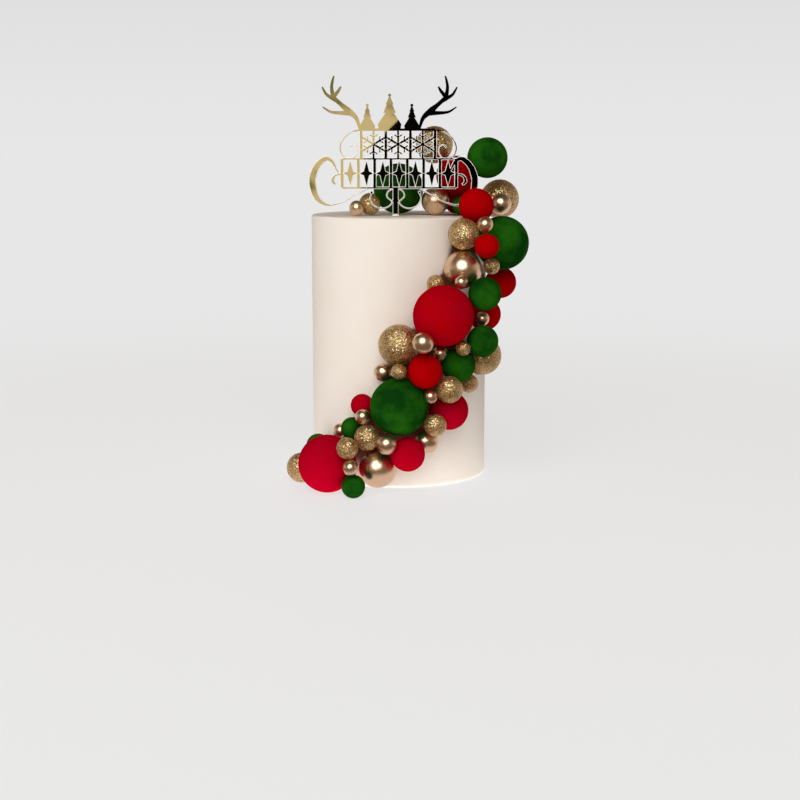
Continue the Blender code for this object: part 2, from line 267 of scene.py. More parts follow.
class Paint(Bench):
    """The node tree of one material, around its Principled BSDF."""

    def __init__(self, tree: bpy.types.NodeTree) -> None:
        """Starts an emptied tree with the shader and the material's output.

        Args:
            tree: The material's node tree.
        """
        super().__init__(tree)
        self.shader = self.add("ShaderNodeBsdfPrincipled", {})
        self.add("ShaderNodeOutputMaterial", {"Surface": self.shader.outputs[0]})

    def keep(self, values: Mapping[str, Any]) -> None:
        """Sets constants on the shader's own sockets, by name."""
        for name, value in values.items():
            self.shader.inputs[name].default_value = value

    def feed(self, name: str, source: Socket) -> None:
        """Feeds one of the shader's sockets."""
        self.tree.links.new(source, self.shader.inputs[name])

    def effect(self, group: bpy.types.NodeTree, values: Mapping[str, Any]) -> Socket:
        """Places a shared effect with this material's values."""
        return self.first("ShaderNodeGroup", values, node_tree=group)

    def drift(self, light: Colour, dark: Colour, patch: float, sharp: float) -> Socket:
        """Places the shared drift of two tones.

        Args:
            light: The lighter tone.
            dark: The darker tone.
            patch: The size of a patch in metres.
            sharp: How sharply the tones part.

        Returns:
            The drifting colour.
        """
        values = {"Light": rgba(light), "Dark": rgba(dark), "Scale": 1 / patch, "Sharpness": sharp}
        return self.effect(SharedEffects.cloudy_tone(), values)

    def bump(self, height: Socket, depth: float) -> None:
        """Feeds the normal from a height, whose 1 stands for a depth in metres."""
        sockets = {"Height": height, "Distance": depth, "Strength": 1.0}
        self.feed("Normal", self.first("ShaderNodeBump", sockets))

    def relief(self, grain: float, depth: float, drag: float = 1.0) -> None:
        """Feeds the normal from the shared fine relief.

        Args:
            grain: The size of a grain in metres.
            depth: The height of the relief in metres.
            drag: Below 1, the grain is drawn out upwards.
        """
        self.bump(self.effect(SharedEffects.fine_relief(), {"Scale": 1 / grain, "Drag": drag}), depth)

    def handling(self, low: float, high: float, patch: float) -> None:
        """Feeds the roughness from the shared drift.

        Args:
            low: The least roughness.
            high: The greatest roughness.
            patch: The size of a patch in metres.
        """
        values = {"Low": low, "High": high, "Scale": 1 / patch}
        self.feed("Roughness", self.effect(SharedEffects.handling(), values))


def new_material(name: str) -> bpy.types.Material:
    """Adds a material that is made of nodes.

    Args:
        name: Its name.

    Returns:
        The material.
    """
    made = bpy.data.materials.new(name)
    made.use_nodes = True
    return made


@dataclass(frozen=True)
class Finish(ABC):
    """A surface finish in a light and a dark tone, which makes its own material once."""

    name: str
    light: Colour
    dark: Colour

    def material(self) -> bpy.types.Material:
        """Finds the finish's material, or makes it.

        Returns:
            The material.
        """
        made = bpy.data.materials.get(self.name)
        if made is None:
            made = new_material(self.name)
            self.dress(Paint(made.node_tree))
        return made

    @abstractmethod
    def dress(self, paint: Paint) -> None:
        """Sets up the nodes of the finish's material."""


@dataclass(frozen=True)
class IcingFinish(Finish):
    """Smoothed icing: two close creams, a soft gloss and faint drag marks of the smoother.

    Where balls crowd over it, painted shade darkens it, up to a dark brown in the tight gaps between them.
    """

    patch: float = 45 * MM
    sharp: float = 1.6
    gap_shade: Colour = (0.17, 0.048, 0.024)
    crowded_attribute: str = "crowded"
    gap_shade_span: tuple[float, float] = (0.53, 0.77)
    roughness: tuple[float, float] = (0.5, 0.62)
    wiped_patch: float = 30 * MM
    grain: float = 6 * MM
    depth: float = 0.25 * MM
    drag: float = 0.15
    specular: float = 0.2

    def dress(self, paint: Paint) -> None:
        """Sets the material's nodes up.

        Args:
            paint: The material's node tree.
        """
        tone = paint.drift(self.light, self.dark, self.patch, self.sharp)
        # Painted shade: where the balls crowd around the icing, its colour is darkened towards a dark brown,
        # standing in for the shadow in the gaps between them.
        crowded = paint.add("ShaderNodeAttribute", {}, attribute_name=self.crowded_attribute).outputs["Fac"]
        share = paint.soft_step(crowded, self.gap_shade_span, (0.0, 1.0))
        paint.feed("Base Color", paint.blend(share, tone, rgba(self.gap_shade)))
        paint.handling(*self.roughness, self.wiped_patch)
        paint.relief(self.grain, self.depth, self.drag)
        paint.keep({"Specular IOR Level": self.specular})


@dataclass(frozen=True)
class CoatFinish(Finish):
    """A coat in patches of two tones, with a fine relief and an even or a drifting gloss."""

    patch: float
    sharp: float
    grain: float
    depth: float
    constants: Mapping[str, float]
    roughness: tuple[float, float] | None = None
    wiped_patch: float = 0.0

    def dress(self, paint: Paint) -> None:
        """Sets the material's nodes up.

        Args:
            paint: The material's node tree.
        """
        paint.feed("Base Color", paint.drift(self.light, self.dark, self.patch, self.sharp))
        paint.relief(self.grain, self.depth)
        paint.keep(self.constants)
        if self.roughness:
            paint.handling(*self.roughness, self.wiped_patch)


@dataclass(frozen=True)
class GlitterBedFinish(Finish):
    """The fine glitter between the large flakes: small cells, each with its own tone and tilt."""

    cell: float = 0.75 * MM
    steepness: float = 0.35
    metallic: float = 0.8
    roughness: float = 0.34

    def dress(self, paint: Paint) -> None:
        """Sets the material's nodes up.

        Args:
            paint: The material's node tree.
        """
        cells = paint.add("ShaderNodeTexVoronoi", {"Vector": paint.place(), "Scale": 1 / self.cell})
        parts = paint.add("ShaderNodeSeparateColor", {0: cells.outputs["Color"]}).outputs
        paint.feed("Base Color", paint.blend(parts[0], rgba(self.dark), rgba(self.light)))
        height = paint.maths("ADD", cells.outputs["Distance"], parts[1])
        paint.bump(height, self.steepness * self.cell)
        paint.keep({"Metallic": self.metallic, "Roughness": self.roughness})


@dataclass(frozen=True)
class FlakeFinish(Finish):
    """The large glitter flakes, whose tone is drawn once for each flake."""

    tone_attribute: str = "tone"
    roughness: float = 0.16

    def dress(self, paint: Paint) -> None:
        """Sets the material's nodes up.

        Args:
            paint: The material's node tree.
        """
        drawn = paint.add("ShaderNodeAttribute", {}, attribute_name=self.tone_attribute).outputs["Fac"]
        paint.feed("Base Color", paint.blend(drawn, rgba(self.dark), rgba(self.light)))
        paint.keep({"Metallic": 1.0, "Roughness": self.roughness})


MATTE = {"grain": 0.5 * MM, "depth": 0.04 * MM, "constants": {"Roughness": 0.9, "Specular IOR Level": 0.0}}
METAL = {"Metallic": 1.0}
ICING = IcingFinish("cream_icing", (0.875, 0.80, 0.72), (0.845, 0.76, 0.67))
WHITE_ICING = IcingFinish("white_icing", (0.87, 0.85, 0.80), (0.82, 0.79, 0.73))
RED = CoatFinish("matte_red", (0.41, 0.0003, 0.0010), (0.37, 0.0003, 0.0020), 30 * MM, 2.6, **MATTE)
BLUSHED = CoatFinish("blushed_red", (0.41, 0.0003, 0.0010), (0.37, 0.0003, 0.0100), 30 * MM, 2.6, **MATTE)
CRIMSON = CoatFinish("matte_crimson", (0.43, 0.0003, 0.017), (0.38, 0.0003, 0.007), 26 * MM, 2.0, **MATTE)
GREEN = CoatFinish("matte_green", (0.0145, 0.104, 0.0042), (0.0038, 0.041, 0.0034), 19 * MM, 3.4, **MATTE)
GOLD = CoatFinish(
    "champagne_gold",
    light=(0.84, 0.62, 0.42),
    dark=(0.80, 0.57, 0.37),
    patch=9 * MM,
    sharp=1.5,
    grain=2.2 * MM,
    depth=0.02 * MM,
    constants=METAL,
    roughness=(0.26, 0.31),
    wiped_patch=7 * MM,
)
MIRROR = CoatFinish(
    "gold_mirror",
    light=(0.80, 0.64, 0.32),
    dark=(0.736, 0.5888, 0.2944),
    patch=20 * MM,
    sharp=1.0,
    grain=22 * MM,
    depth=0.01 * MM,
    constants=METAL,
    roughness=(0.01, 0.02),
    wiped_patch=12 * MM,
)
CUT_EDGE = CoatFinish(
    "cut_edge",
    light=(0.97, 0.95, 0.91),
    dark=(0.90, 0.86, 0.78),
    patch=3 * MM,
    sharp=2.0,
    grain=0.4 * MM,
    depth=0.05 * MM,
    constants={"Roughness": 0.35},
)
GLITTER_BED = GlitterBedFinish("glitter_bed", (1.0, 0.72, 0.32), (0.24, 0.12, 0.035))
FLAKES = FlakeFinish("glitter_flakes", (1.0, 0.87, 0.58), (0.46, 0.28, 0.10))


class Coat(Enum):
    """The coats of the baubles: the word in a node's name, and the name of a material slot."""

    RED = ("red", "red_matte")
    GREEN = ("green", "green_matte")
    GOLD = ("gold", "gold_metallic")
    GLITTER = ("glitter", "gold_glitter")

    @property
    def word(self) -> str:
        """The word in the names of the nodes with this coat."""
        return self.value[0]

    @property
    def slot(self) -> str:
        """The name of a material slot."""
        return self.value[1]


def new_object(name: str, data: bpy.types.ID) -> bpy.types.Object:
    """Adds an object to the scene, at the origin.

    Args:
        name: Its name.
        data: Its mesh, light or camera.

    Returns:
        The object.
    """
    made = bpy.data.objects.new(name, data)
    bpy.context.scene.collection.objects.link(made)
    return made


def mesh_from(bm: bmesh.types.BMesh, smooth: bool) -> bpy.types.Mesh:
    """Turns a bmesh into a mesh.

    Args:
        bm: The bmesh, which is freed.
        smooth: Whether its faces are shaded smooth.

    Returns:
        The mesh.
    """
    mesh = bpy.data.meshes.new("made")
    bm.to_mesh(mesh)
    bm.free()
    mesh.polygons.foreach_set("use_smooth", [smooth] * len(mesh.polygons))
    return mesh


def grown(start: bpy.types.Mesh, tree: bpy.types.NodeTree, sizes: Mapping[str, Any]) -> bpy.types.Mesh:
    """Runs a geometry tree on a mesh and keeps the result as a plain mesh.

    Args:
        start: The mesh that the tree works on.
        tree: The geometry tree.
        sizes: The value of each named input.

    Returns:
        The plain mesh that the tree makes.
    """
    holder = new_object("holder", start)
    modifier = holder.modifiers.new("grow", "NODES")
    modifier.node_group = tree
    sockets = {s.name: s.identifier for s in tree.interface.items_tree if s.in_out == "INPUT"}
    for name, value in sizes.items():
        modifier[sockets[name]] = value
    graph = bpy.context.evaluated_depsgraph_get()
    made = bpy.data.meshes.new_from_object(holder.evaluated_get(graph))
    holder.modifiers.remove(modifier)
    bpy.data.objects.remove(holder)
    return made


def settle(name: str, mesh: bpy.types.Mesh, finishes: Sequence[Finish], slot: str, *nodes: str) -> None:
    """Makes a piece of a finished mesh and puts it on the body, in the place of its nodes.

    Args:
        name: The piece's name.
        mesh: Its mesh, in place.
        finishes: One finish for each of the mesh's material numbers, for a mesh that wears none yet.
        slot: The name of a material slot. It is not used.
        nodes: The solids that it stands for.
    """
    mesh.name = name
    if not mesh.materials:
        for finish in finishes:
            mesh.materials.append(finish.material())
    piece = new_object(name, mesh)
    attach(piece, BODY)
    if nodes:
        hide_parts(*nodes)
    log.info("%s: %d faces", name, len(mesh.polygons))


@dataclass(frozen=True)
class Ball:
    """Where one bauble sits, read from its solid."""

    node: str
    centre: Vector
    radius: float

    @classmethod
    def of(cls, node: str) -> "Ball":
        """Reads a ball from its solid's box, whose poles are at the ball's own top and bottom.

        Args:
            node: The solid's name.

        Returns:
            The ball.
        """
        low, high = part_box(node)
        return cls(node, (low + high) / 2, (high.z - low.z) / 2)


@dataclass
class IcedCake:
    """The round drum: a turned profile whose icing is very slightly uneven."""

    node: str = "cake"
    rim: float = 2.0 * MM
    foot: float = 3.0 * MM
    arc_steps: int = 7
    side_steps: int = 112
    level_steps: int = 12
    steps_around: int = 240
    unevenness: float = 0.5 * MM
    wave: float = 42 * MM
    seed: float = 7.0
    crowd_reach: float = 4.0
    crowd_cover: float = 0.8
    least_span: float = 1e-3
    weld: float = 0.02 * MM

    def profile(self) -> bpy.types.Mesh:
        """The outline that is turned: X is the distance from the axis, Z the height.

        Returns:
            A mesh of points from the middle of the bottom to the middle of the top.
        """
        low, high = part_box(self.node)
        radius, height = high.x, high.z - low.z
        shares = [step / self.level_steps for step in range(self.level_steps)]
        points = [Vector((radius - self.foot, 0, 0)) * share for share in shares]
        for centre_z, size, start in ((self.foot, self.foot, -90), (height - self.rim, self.rim, 0)):
            for step in range(self.arc_steps + 1):
                turn = math.radians(start + 90 * step / self.arc_steps)
                across = radius - size + size * math.cos(turn)
                points.append(Vector((across, 0, centre_z + size * math.sin(turn))))
            if start < 0:
                side = height - self.rim - self.foot
                rises = [side * step / self.side_steps for step in range(1, self.side_steps)]
                points += [Vector((radius, 0, self.foot + rise)) for rise in rises]
        points += [Vector(((radius - self.rim) * share, 0, height)) for share in reversed(shares)]
        mesh = bpy.data.meshes.new("profile")
        mesh.from_pydata(points, [(a, a + 1) for a in range(len(points) - 1)], [])
        return mesh

    def sizes(self) -> dict[str, Any]:
        """The sizes that the geometry tree takes, by the names of its inputs.

        Returns:
            The sizes.
        """
        return {
            "Steps Around": self.steps_around,
            "Unevenness": self.unevenness,
            "Wave": self.wave,
            "Seed": self.seed,
            "Level Foot": 2 * self.foot,
        }

    def turning_tree(self) -> bpy.types.NodeTree:
        """The geometry tree that turns the profile about Z and unsettles its icing.

        Returns:
            The tree, with its sizes as named inputs.
        """
        inputs = {"Profile": "Geometry", **self.sizes(), "Finish": "Material"}
        bench, given = new_group("Turned icing", "GeometryNodeTree", inputs, ("Geometry", "Geometry"))
        profile, steps = given["Profile"], given["Steps Around"]
        count = bench.add("GeometryNodeAttributeDomainSize", {0: profile}).outputs["Point Count"]
        around = bench.maths("ADD", steps, 1.0)
        grid = bench.first("GeometryNodeMeshGrid", {"Vertices X": around, "Vertices Y": count})
        index = bench.first("GeometryNodeInputIndex", {})
        station = bench.maths("MODULO", index, count)
        column = bench.maths("FLOOR", bench.maths("DIVIDE", bench.maths("ADD", index, 0.5), count))
        place = bench.first("GeometryNodeInputPosition", {})
        sampled = {0: profile, "Value": place, "Index": station}
        outline = bench.axes(bench.first("GeometryNodeSampleIndex", sampled, data_type="FLOAT_VECTOR"))
        turn = bench.maths("MULTIPLY", bench.maths("DIVIDE", column, steps), math.tau)
        across = bench.maths("MULTIPLY", outline[0], bench.maths("COSINE", turn))
        along = bench.maths("MULTIPLY", outline[0], bench.maths("SINE", turn))
        turned = bench.vector(across, along, outline[2])
        drum = bench.first("GeometryNodeSetPosition", {0: grid, "Position": turned})
        sewn = bench.first("GeometryNodeMergeByDistance", {0: drum, "Distance": self.weld})
        waves = bench.first(
            "ShaderNodeTexNoise",
            {
                "Vector": place,
                "W": given["Seed"],
                "Scale": bench.maths("DIVIDE", 1.0, given["Wave"]),
                "Detail": 3.0,
                "Roughness": 0.5,
            },
            noise_dimensions="4D",
        )
        free = bench.first("ShaderNodeMapRange", {0: bench.axes(place)[2], 1: 0.0, 2: given["Level Foot"]})
        inwards = bench.maths("MULTIPLY", bench.maths("SUBTRACT", waves, 1.0), given["Unevenness"])
        depth = bench.maths("MULTIPLY", inwards, free)
        normal = bench.first("GeometryNodeInputNormal", {})
        shift = bench.first("ShaderNodeVectorMath", {0: normal, "Scale": depth}, operation="SCALE")
        uneven = bench.first("GeometryNodeSetPosition", {0: sewn, "Offset": shift})
        smooth = bench.first("GeometryNodeSetShadeSmooth", {0: uneven, "Shade Smooth": True})
        return bench.closed_geometry(smooth, given["Finish"])

    def crowding(self, place: Vector, normal: Vector, balls: Sequence[Ball]) -> float:
        """How closely the balls stand around one point of the icing, which sets where its painted shade lies.
        Balls on one side only count little.

        Args:
            place: The point.
            normal: The way out of the icing there.
            balls: The balls.

        Returns:
            The crowding, from 0 to 1.
        """
        clear, total, pull = 1.0, 0.0, Vector((0, 0, 0))
        for ball in balls:
            way = ball.centre - place
            rise = way.dot(normal)
            aside = way - normal * rise
            span = max(aside.length / ball.radius, self.least_span)
            if rise > -ball.radius and span < self.crowd_reach:
                near = min(span**-2, 1.0) * min(self.crowd_reach - span, 1.0)
                clear *= 1 - self.crowd_cover * near
                pull += aside.normalized() * (near * min(span, 1.0))
                total += near
        return (1 - clear) * (1 - pull.length / total) if total else 0.0

    def build(self, balls: Sequence[Ball]) -> None:
        """Makes the drum and settles it in the place of its solid.

        Args:
            balls: The balls on the cake, which set where painted shade darkens the icing in the gaps between
                them.
        """
        mesh = grown(self.profile(), self.turning_tree(), {**self.sizes(), "Finish": ICING.material()})
        bm = bmesh.new()
        bm.from_mesh(mesh)
        bmesh.ops.recalc_face_normals(bm, faces=bm.faces[:])
        drum = mesh_from(bm, smooth=True)
        # The crowding of each point is the mask for the icing's painted shade in the gaps between the balls.
        crowded = drum.attributes.new(ICING.crowded_attribute, "FLOAT", "POINT")
        values = [self.crowding(vert.co, vert.normal, balls) for vert in drum.vertices]
        crowded.data.foreach_set("value", values)
        settle("cream_drum", drum, [ICING], "icing", self.node)


@dataclass
class BaubleCascade:
    """The balls, each one cast a little out of true, as the real ones are."""

    small: float = 9 * MM
    small_detail: int = 4
    detail: int = 5
    out_of_true: float = 0.006
    swell: float = 1.3
    crimson_nodes: frozenset[str] = frozenset(f"bauble_red_{number:02d}" for number in (1, 4, 6, 8))
    blushed_node: str = "bauble_red_05"
    finishes: dict[Coat, Finish] = field(
        default_factory=lambda: {Coat.RED: RED, Coat.GREEN: GREEN, Coat.GOLD: GOLD, Coat.GLITTER: GLITTER_BED}
    )

    def balls(self, coat: Coat) -> list[Ball]:
        """Finds the balls with one coat.

        Args:
            coat: The coat.

        Returns:
            The balls, in the order of their nodes' names.
        """
        return [Ball.of(node) for node in sorted(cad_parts) if node.startswith(f"bauble_{coat.word}_")]

    def shell(self, ball: Ball, sunk: float = 0.0) -> bmesh.types.BMesh:
        """Makes one ball's skin, never outside its true radius.

        Args:
            ball: The ball.
            sunk: How far the skin lies below the true radius.

        Returns:
            The skin, in place.
        """
        bm = bmesh.new()
        detail = self.small_detail if ball.radius < self.small else self.detail
        bmesh.ops.create_icosphere(bm, subdivisions=detail, radius=1.0)
        for vert in bm.verts:
            drift = noise.noise(vert.co * self.swell + ball.centre / MM)
            dent = self.out_of_true * (0.5 - 0.5 * drift)
            vert.co = ball.centre + vert.co * (ball.radius - sunk) * (1 - dent)
        return bm

    def finish_of(self, coat: Coat, ball: Ball) -> Finish:
        """Chooses a ball's finish: some of the red ones are crimson, and the largest has a blush."""
        chosen = CRIMSON if ball.node in self.crimson_nodes else self.finishes[coat]
        return BLUSHED if ball.node == self.blushed_node else chosen

    def build(self, coat: Coat, sunk: float = 0.0) -> None:
        """Makes every ball with one coat.

        Args:
            coat: The coat.
            sunk: How far the balls' skins lie below their true radius.
        """
        for ball in self.balls(coat):
            mesh = mesh_from(self.shell(ball, sunk), smooth=True)
            name = ball.node.replace("bauble", "ball")
            settle(name, mesh, [self.finish_of(coat, ball)], coat.slot, ball.node)


@dataclass
class GlitterCoat:
    """The large flakes on the glitter balls: small flat squares, each a shard with its point in the ball."""

    cascade: BaubleCascade
    flake: float = 0.50 * MM
    thickness: float = 0.30 * MM
    spacing: float = 0.76 * MM
    density: float = 3.4e6
    tilt: float = math.radians(22)
    corners: int = 4
    least_size: float = 0.7
    dip: float = -0.75
    sunk: float = 0.34 * MM
    seed: int = 11

    def sizes(self) -> dict[str, Any]:
        """The sizes that the geometry tree takes, by the names of its inputs.

        Returns:
            The sizes.
        """
        return {
            "Flake": self.flake,
            "Thickness": self.thickness,
            "Spacing": self.spacing,
            "Density": self.density,
            "Tilt": self.tilt,
            "Seed": self.seed,
        }

    def tree(self) -> bpy.types.NodeTree:
        """The geometry tree that sows the flakes.

        Returns:
            The tree, with its sizes as named inputs.
        """
        inputs = {"Balls": "Geometry", **self.sizes(), "Finish": "Material"}
        bench, given = new_group("Glitter coat", "GeometryNodeTree", inputs, ("Geometry", "Geometry"))
        tilt, seed = given["Tilt"], given["Seed"]
        ground = {
            "Mesh": given["Balls"],
            "Distance Min": given["Spacing"],
            "Density Max": given["Density"],
            "Seed": seed,
        }
        sown = bench.add("GeometryNodeDistributePointsOnFaces", ground, distribute_method="POISSON").outputs
        ends = {"Radius Top": given["Flake"], "Radius Bottom": 0.0, "Depth": given["Thickness"]}
        shard = bench.add("GeometryNodeMeshCone", {"Vertices": self.corners, **ends}).outputs["Mesh"]
        back = bench.maths("MULTIPLY", tilt, -1.0)
        turns = {0: bench.vector(back, back, 0.0), 1: bench.vector(tilt, tilt, math.tau), "Seed": seed}
        lean = bench.first("FunctionNodeRandomValue", turns, data_type="FLOAT_VECTOR")
        leaning = bench.first("FunctionNodeEulerToRotation", {0: lean})
        both = {0: sown["Rotation"], 1: leaning}
        pose = bench.first("FunctionNodeRotateRotation", both, rotation_space="LOCAL")
        sizing = {2: self.least_size, 3: 1.0, "Seed": self.seed + 1}
        size = bench.add("FunctionNodeRandomValue", sizing, data_type="FLOAT").outputs[1]
        toning = {2: 0.0, 3: 1.0, "Seed": self.seed + 2}
        tone = bench.add("FunctionNodeRandomValue", toning, data_type="FLOAT").outputs[1]
        stood = {"Points": sown["Points"], "Instance": shard, "Rotation": pose, "Scale": size}
        flakes = bench.first("GeometryNodeInstanceOnPoints", stood)
        drop = bench.vector(0.0, 0.0, bench.maths("MULTIPLY", given["Thickness"], self.dip))
        sunk = bench.first(
            "GeometryNodeTranslateInstances", {0: flakes, "Translation": drop, "Local Space": True}
        )
        toned = bench.first(
            "GeometryNodeStoreNamedAttribute",
            {0: sunk, "Name": FLAKES.tone_attribute, "Value": tone},
            data_type="FLOAT",
            domain="INSTANCE",
        )
        return bench.closed_geometry(toned, given["Finish"])

    def build(self) -> None:
        """Makes the sunk glitter balls and sows all their flakes as one piece."""
        self.cascade.build(Coat.GLITTER, self.sunk)
        balls = bmesh.new()
        for ball in self.cascade.balls(Coat.GLITTER):
            shell = mesh_from(self.cascade.shell(ball, self.sunk), smooth=True)
            balls.from_mesh(shell)
            bpy.data.meshes.remove(shell)
        sizes = {**self.sizes(), "Finish": FLAKES.material()}
        mesh = grown(mesh_from(balls, smooth=True), self.tree(), sizes)
        settle("glitter_flakes", mesh, [FLAKES], Coat.GLITTER.slot)


def signed_area(points: Sequence[Vector]) -> float:
    """The area of a flat outline, above 0 if it runs anticlockwise."""
    pairs = zip(points, [*points[1:], points[0]])
    return sum(a.x * b.y - b.x * a.y for a, b in pairs) / 2


def smooth_line(points: Sequence[Vector], steps: int) -> list[Vector]:
    """Runs a smooth curve through the points.

    Args:
        points: The points that it passes.
        steps: The pieces between two of them.

    Returns:
        The curve's points.
    """
    line = []
    for index in range(len(points) - 1):
        a = points[max(index - 1, 0)]
        b, c = points[index], points[index + 1]
        d = points[min(index + 2, len(points) - 1)]
        for step in range(steps):
            t = step / steps
            near = 2 * b + (c - a) * t + (2 * a - 5 * b + 4 * c - d) * t**2
            line.append((near + (3 * b - a - 3 * c + d) * t**3) / 2)
    line.append(points[-1])
    return line


@dataclass
class Cutout:
    """A sheet cut to an outline, which is given as overlapping convex pieces in millimetres.

    X runs from the stake's axis, and the second number is the height above the cake's top.
    """

    thickness: float
    chamfer: float
    depth: float
    frosted_below: float
    weld: float = 1e-3
    level_slack: float = 0.01
    hairpin: float = 0.9
    dot_sides: int = 24
    pieces: list[list[Vector]] = field(default_factory=list)

    def add(self, points: Iterable[Sequence[float]]) -> None:
        """Adds a convex piece."""
        piece = [Vector(point) for point in points]
        self.pieces.append(piece if signed_area(piece) > 0 else piece[::-1])

    def bar(self, start: Sequence[float], end: Sequence[float], width: float) -> None:
        """Adds a straight bar.

        Args:
            start: The middle of one end.
            end: The middle of the other end.
            width: The bar's width.
        """
        first, last = Vector(start), Vector(end)
        side = (last - first).orthogonal().normalized() * (width / 2)
        self.add([first - side, last - side, last + side, first + side])

    def dot(self, centre: Sequence[float], radius: float) -> None:
        """Adds a disc.

        Args:
            centre: Its centre.
            radius: Its radius.
        """
        turns = [math.tau * step / self.dot_sides for step in range(self.dot_sides)]
        self.add([(centre[0] + radius * math.cos(t), centre[1] + radius * math.sin(t)) for t in turns])

    def stroke_pair(self, middle: float, stations: Sequence[Station], steps: int) -> None:
        """Adds a smooth tapering line and its mirror image.

        Args:
            middle: The X that they are mirrored about.
            stations: The distance from the middle, the height and the width at each point.
            steps: The pieces between two stations.
        """
        line = smooth_line([Vector(station) for station in stations], steps)
        edges = []
        for index, station in enumerate(line):
            before = line[max(index - 1, 0)].xy
            after = line[min(index + 1, len(line) - 1)].xy
            side = (after - before).orthogonal().normalized() * (station.z / 2)
            edges.append((station.xy + side, station.xy - side))
        for (left, right), (next_left, next_right) in zip(edges, edges[1:]):
            piece = [left, right, next_right, next_left]
            self.add([(middle + point.x, point.y) for point in piece])
            self.add([(middle - point.x, point.y) for point in piece])

    def united(
        self, pieces: Sequence[Sequence[Vector]]
    ) -> tuple[list[Vector], list[list[int]], list[list[int]]]:
        """Joins convex pieces into triangles that do not overlap.

        Args:
            pieces: The pieces.

        Returns:
            The points, the triangles that lie in a piece, and the numbers of the pieces that each lies in.
        """
        points = [point for piece in pieces for point in piece]
        faces, first = [], 0
        for piece in pieces:
            faces.append(list(range(first, first + len(piece))))
            first += len(piece)
        flat, _, triangles, _, _, sources = delaunay_2d_cdt(points, [], faces, 1, self.weld)
        kept = [(list(triangle), source) for triangle, source in zip(triangles, sources) if source]
        return flat, [triangle for triangle, _ in kept], [source for _, source in kept]

    @staticmethod
    def border(triangles: Sequence[Sequence[int]]) -> list[tuple[int, int]]:
        """Finds the edges that only one triangle has, with the inside on their left."""
        edges = {pair for a, b, c in triangles for pair in ((a, b), (b, c), (c, a))}
        return sorted((a, b) for a, b in edges if (b, a) not in edges)

    def bands(self, flat: Sequence[Vector], border: Sequence[tuple[int, int]]) -> list[list[Vector]]:
        """Makes the strips that the chamfer takes, along the inside of the outline.

        Args:
            flat: The points.
            border: The outline's edges.

        Returns:
            A strip for each edge, and a wedge for each corner that juts into the sheet.
        """
        made, arriving, leaving = [], {}, {}
        for start, end in border:
            inward = (flat[end] - flat[start]).orthogonal().normalized() * self.chamfer
            made.append([flat[start], flat[end], flat[end] + inward, flat[start] + inward])
            arriving[end], leaving[start] = inward, inward
        for corner, before in arriving.items():
            after = leaving[corner]
            if before.cross(after) < 0 and before.dot(after) > -self.hairpin * self.chamfer**2:
                middle = (before + after).normalized() * self.chamfer
                made.append([flat[corner] + way for way in (Vector((0, 0)), after, middle, before)])
        return made

    def sheet(self) -> bpy.types.Mesh:
        """Gives the outline its thickness and its chamfered rims.

        Returns:
            The mesh, in metres. Its faces and all its high parts have material 0, its low rims and walls 1.
        """
        flat, triangles, _ = self.united(self.pieces)
        border = self.border(triangles)
        ends = [flat[index] for edge in border for index in edge]
        walls = [(point.x, point.y, level) for point in ends for level in (-1, 1)]
        quads = [(first, first + 1, first + 3, first + 2) for first in range(0, len(walls), 4)]
        outline = BVHTree.FromPolygons(walls, quads)
        flat, triangles, sources = self.united([*self.pieces, *self.bands(flat, border)])
        inside = [number for number, source in enumerate(sources) if min(source) < len(self.pieces)]
        half = []
        for point in flat:
            away = outline.find_nearest((point.x, point.y, 0))[3]
            risen = min(away / self.chamfer, 1.0) if point.y < self.frosted_below else 1.0
            half.append(self.thickness / 2 - self.depth * (1 - risen))
        bm = bmesh.new()
        front = [bm.verts.new((point.x, -level, point.y)) for point, level in zip(flat, half)]
        back = [bm.verts.new((point.x, level, point.y)) for point, level in zip(flat, half)]
        for number in inside:
            a, b, c = triangles[number]
            middle = (flat[a] + flat[b] + flat[c]) / 3
            levels = (half[a], half[b], half[c])
            sloped = max(levels) - min(levels) > self.level_slack
            rim = sloped or outline.find_nearest((middle.x, middle.y, 0))[3] < self.chamfer
            material = 1 if rim and middle.y < self.frosted_below else 0
            bm.faces.new((front[a], front[b], front[c])).material_index = material
            bm.faces.new((back[c], back[b], back[a])).material_index = material
        for a, b in self.border([triangles[number] for number in inside]):
            material = 1 if flat[a].y < self.frosted_below else 0
            bm.faces.new((front[b], front[a], back[a], back[b])).material_index = material
        bmesh.ops.delete(bm, geom=[vert for vert in bm.verts if not vert.link_faces], context="VERTS")
        bmesh.ops.scale(bm, verts=bm.verts[:], vec=(MM, MM, MM))
        bmesh.ops.recalc_face_normals(bm, faces=bm.faces[:])
        return mesh_from(bm, smooth=False)


@dataclass(frozen=True)
class Row:
    """A row of equal cells between two rails."""

    middle: float
    half: float
    cells: int
    bottom: float
    top: float

    @property
    def left(self) -> float:
        """Its left end."""
        return self.middle - self.half

    @property
    def right(self) -> float:
        """Its right end."""
        return self.middle + self.half

    def half_cell(self) -> tuple[float, float]:
        """Half the width and half the height of a cell."""
        return (self.right - self.left) / self.cells / 2, (self.top - self.bottom) / 2

    def centres(self) -> list[Vector]:
        """The middles of its cells."""
        pitch, middle = (self.right - self.left) / self.cells, (self.bottom + self.top) / 2
        return [Vector((self.left + (index + 0.5) * pitch, middle)) for index in range(self.cells)]


